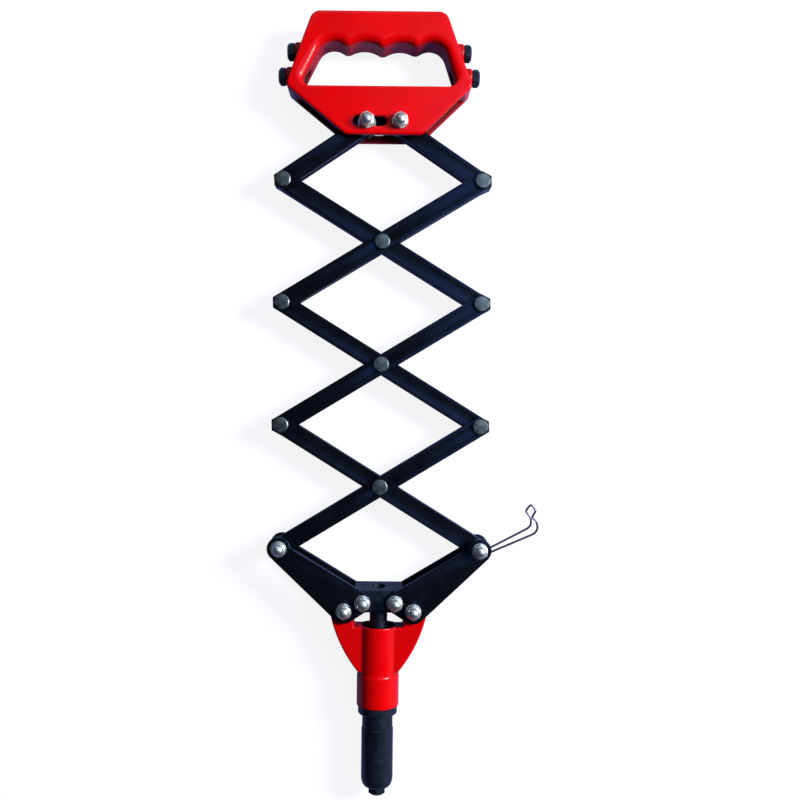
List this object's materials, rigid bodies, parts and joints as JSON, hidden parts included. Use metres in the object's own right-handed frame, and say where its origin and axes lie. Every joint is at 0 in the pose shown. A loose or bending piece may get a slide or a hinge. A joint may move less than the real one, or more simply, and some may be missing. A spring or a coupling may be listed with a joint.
{
  "type": "lazy tong riveter",
  "caption": "Blind-rivet tool with scissor tongs between a finger grip and a slim nose; closing the tongs draws the puller head and jaws up the nose.",
  "frame": {"origin": "centre of the fitted nosepiece's tip face, where the mandrel enters", "axes": "+Y from the nose to the grip along the tool's centre line; +Z out of the front face, where the dome nuts are; +X to the side of the wire latch"},
  "size_m": [0.1788, 0.5175, 0.0376],
  "materials": {
    "red_enamel": "gloss red enamel on a light-alloy casting",
    "black_paint": "satin black on steel bar and plate",
    "black_oxide": "black oxide on turned steel",
    "zinc_plate": "bright zinc plate on steel",
    "rivet_steel": "blue-grey steel, flat heads with a turned edge",
    "spring_steel": "drawn spring wire, oiled"
  },
  "bodies": {
    "body": {"body_casting": "red_enamel", "body_pivot_left_bolt": "zinc_plate", "body_pivot_left_dome_nut": "zinc_plate", "body_pivot_right_bolt": "zinc_plate", "body_pivot_right_dome_nut": "zinc_plate", "locking_collar": "black_oxide", "nose_sleeve": "black_oxide", "fitted_nosepiece": "black_oxide"},
    "puller": {"puller_head": "black_oxide", "jaw_case": "black_oxide", "jaw_1": "black_oxide", "jaw_2": "black_oxide", "jaw_3": "black_oxide", "jaw_pusher": "black_oxide", "jaw_spring": "spring_steel"},
    "lever_left": {"lever_left_front": "black_paint", "lever_left_rear": "black_paint", "lever_left_pull_pin": "zinc_plate", "lever_left_end_bolt": "zinc_plate", "lever_left_end_dome_nut": "zinc_plate"},
    "lever_right": {"lever_right_front": "black_paint", "lever_right_rear": "black_paint", "lever_right_pull_pin": "zinc_plate", "lever_right_end_bolt": "zinc_plate", "lever_right_end_dome_nut": "zinc_plate"},
    "latch": {"wire_latch": "spring_steel"},
    "lower_rising": {"lower_rising_arm_front": "black_paint", "lower_rising_arm_rear": "black_paint", "lower_centre_rivet": "rivet_steel", "lower_right_rivet": "rivet_steel"},
    "lower_falling": {"lower_falling_arm_front": "black_paint", "lower_falling_arm_rear": "black_paint", "lower_left_rivet": "rivet_steel"},
    "middle_rising": {"middle_rising_arm_front": "black_paint", "middle_rising_arm_rear": "black_paint", "middle_centre_rivet": "rivet_steel", "middle_right_rivet": "rivet_steel"},
    "middle_falling": {"middle_falling_arm_front": "black_paint", "middle_falling_arm_rear": "black_paint", "middle_left_rivet": "rivet_steel"},
    "upper_rising": {"upper_rising_arm_front": "black_paint", "upper_rising_arm_rear": "black_paint", "upper_centre_rivet": "rivet_steel", "upper_right_rivet": "rivet_steel"},
    "upper_falling": {"upper_falling_arm_front": "black_paint", "upper_falling_arm_rear": "black_paint", "upper_left_rivet": "rivet_steel"},
    "link_left": {"grip_link_left_front": "black_paint", "grip_link_left_rear": "black_paint", "grip_slot_bolt": "zinc_plate", "grip_slot_dome_nut": "zinc_plate"},
    "link_right": {"grip_link_right_front": "black_paint", "grip_link_right_rear": "black_paint"},
    "grip": {"grip_casting": "red_enamel", "grip_fixed_bolt": "zinc_plate", "grip_fixed_dome_nut": "zinc_plate", "spare_nosepiece_1": "black_oxide", "spare_nosepiece_2": "black_oxide", "spare_nosepiece_3": "black_oxide", "spare_nosepiece_4": "black_oxide"}
  },
  "joints": [
    {"name": "lever_left_pivot", "type": "hinge", "parent": "body", "child": "lever_left", "pos_m": [-0.0228, 0.1239, 0], "axis": [0, 0, 1], "range_deg": [-18, 16]},
    {"name": "lever_right_pivot", "type": "hinge", "parent": "body", "child": "lever_right", "pos_m": [0.0228, 0.1239, 0], "axis": [0, 0, 1], "range_deg": [-16.1, 18.1]},
    {"name": "puller_slide", "type": "slide", "parent": "body", "child": "puller", "axis": [0, 1, 0], "range_m": [-0.0038, 0.0034]},
    {"name": "latch_pivot", "type": "hinge", "parent": "lever_right", "child": "latch", "pos_m": [0.06601, 0.1642, 0], "axis": [0, 0, 1], "range_deg": [-60, 30]},
    {"name": "lower_rising_pivot", "type": "hinge", "parent": "lever_left", "child": "lower_rising", "pos_m": [-0.06601, 0.1642, 0], "axis": [0, 0, 1], "range_deg": [-31.8, 35.8]},
    {"name": "lower_falling_pivot", "type": "hinge", "parent": "lower_rising", "child": "lower_falling", "pos_m": [0, 0.20481, 0], "axis": [0, 0, 1], "range_deg": [-35.4, 31.5]},
    {"name": "middle_rising_pivot", "type": "hinge", "parent": "lower_falling", "child": "middle_rising", "pos_m": [-0.06601, 0.24542, 0], "axis": [0, 0, 1], "range_deg": [-31.5, 35.4]},
    {"name": "middle_falling_pivot", "type": "hinge", "parent": "middle_rising", "child": "middle_falling", "pos_m": [0, 0.28603, 0], "axis": [0, 0, 1], "range_deg": [-35.4, 31.5]},
    {"name": "upper_rising_pivot", "type": "hinge", "parent": "middle_falling", "child": "upper_rising", "pos_m": [-0.06601, 0.32664, 0], "axis": [0, 0, 1], "range_deg": [-31.5, 35.4]},
    {"name": "upper_falling_pivot", "type": "hinge", "parent": "upper_rising", "child": "upper_falling", "pos_m": [0, 0.36725, 0], "axis": [0, 0, 1], "range_deg": [-35.4, 31.5]},
    {"name": "link_left_pivot", "type": "hinge", "parent": "upper_falling", "child": "link_left", "pos_m": [-0.06601, 0.40786, 0], "axis": [0, 0, 1], "range_deg": [-32.9, 37]},
    {"name": "link_right_pivot", "type": "hinge", "parent": "upper_rising", "child": "link_right", "pos_m": [0.06601, 0.40786, 0], "axis": [0, 0, 1], "range_deg": [-37, 32.9]},
    {"name": "grip_pivot", "type": "hinge", "parent": "link_right", "child": "grip", "pos_m": [0.011, 0.44522, 0], "axis": [0, 0, 1], "range_deg": [-17.2, 19.4]}
  ],
  "couplings": [
    {"joint": "lever_right_pivot", "follows": "lever_left_pivot", "ratio": -1},
    {"joint": "puller_slide", "follows": "lever_left_pivot", "m_per_rad": 0.012003},
    {"joint": "lower_rising_pivot", "follows": "lever_left_pivot", "ratio": -1.9804},
    {"joint": "lower_falling_pivot", "follows": "lever_left_pivot", "ratio": 1.9608},
    {"joint": "middle_rising_pivot", "follows": "lever_left_pivot", "ratio": -1.9608},
    {"joint": "middle_falling_pivot", "follows": "lever_left_pivot", "ratio": 1.9608},
    {"joint": "upper_rising_pivot", "follows": "lever_left_pivot", "ratio": -1.9608},
    {"joint": "upper_falling_pivot", "follows": "lever_left_pivot", "ratio": 1.9608},
    {"joint": "link_left_pivot", "follows": "lever_left_pivot", "ratio": -2.049},
    {"joint": "link_right_pivot", "follows": "lever_left_pivot", "ratio": 2.049},
    {"joint": "grip_pivot", "follows": "lever_left_pivot", "ratio": -1.0686}
  ]
}
